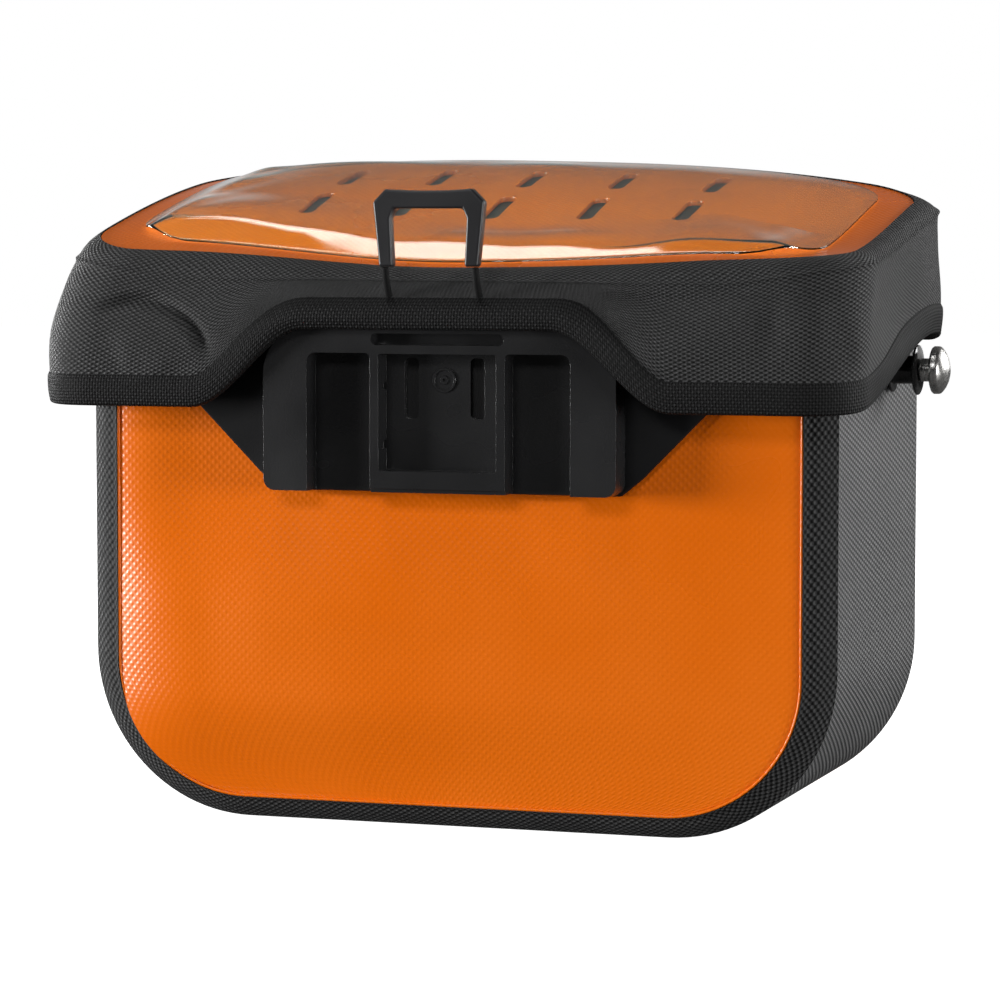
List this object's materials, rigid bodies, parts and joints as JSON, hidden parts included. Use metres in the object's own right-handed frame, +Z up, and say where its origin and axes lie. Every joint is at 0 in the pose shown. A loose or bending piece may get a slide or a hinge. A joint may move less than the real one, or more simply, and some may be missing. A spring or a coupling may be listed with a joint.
{
  "type": "handlebar bag",
  "caption": "Boxy fabric handlebar bag with a hinged lid, map window, pull loop, moulded mount housing and strap studs.",
  "frame": {"origin": "on the floor, under the middle of the whole bag's box", "axes": "+X to the right seen from the mount housing, along the width; +Y away from the mount housing; +Z up"},
  "size_m": [0.2838, 0.1502, 0.212],
  "materials": {
    "orange_fabric": "PVC-coated woven fabric, satin",
    "grey_fabric": "dark grey woven fabric",
    "black_fabric": "black woven fabric and binding tape",
    "board_plastic": "black polyethylene board",
    "moulded_plastic": "fine-textured black moulding",
    "gloss_plastic": "smooth black moulding",
    "clear_film": "clear flexible film",
    "dark_steel": "bright dark nickel",
    "cord_black": "black braided cord",
    "magnet_steel": "nickel-plated"
  },
  "bodies": {
    "bag": {"front_panel": "orange_fabric", "back_panel": "orange_fabric", "gusset": "grey_fabric", "front_seam_border": "black_fabric", "back_seam_border": "black_fabric", "rim_frame": "board_plastic", "front_stiffener_board": "board_plastic", "back_stiffener_board": "board_plastic", "mount_base_plate": "moulded_plastic", "mount_housing": "moulded_plastic", "mount_screw_1": "dark_steel", "mount_screw_2": "dark_steel", "mount_screw_3": "dark_steel", "mount_screw_4": "dark_steel", "strap_stud_base_left": "gloss_plastic", "strap_stud_left": "dark_steel", "strap_stud_nut_left": "dark_steel", "body_magnet_left": "magnet_steel", "strap_stud_base_right": "gloss_plastic", "strap_stud_right": "dark_steel", "strap_stud_nut_right": "dark_steel", "body_magnet_right": "magnet_steel", "hinge_strip": "black_fabric"},
    "lid": {"lid_top_panel": "orange_fabric", "lid_stiffener_board": "board_plastic", "window_film": "clear_film", "lid_rim_band": "black_fabric", "lid_skirt": "black_fabric", "lid_hem_binding": "black_fabric", "lid_magnet_left": "magnet_steel", "lid_magnet_right": "magnet_steel"},
    "pull": {"pull_grip": "gloss_plastic", "pull_cord_left": "cord_black", "pull_cord_right": "cord_black"}
  },
  "joints": [
    {"name": "lid_hinge", "type": "hinge", "parent": "bag", "child": "lid", "pos_m": [0, 0.07216, 0.1515], "axis": [-1, 0, 0], "range_deg": [0, 110]},
    {"name": "pull_hinge", "type": "hinge", "parent": "lid", "child": "pull", "pos_m": [0, -0.06954, 0.1663], "axis": [1, 0, 0], "range_deg": [-30, 70]}
  ]
}
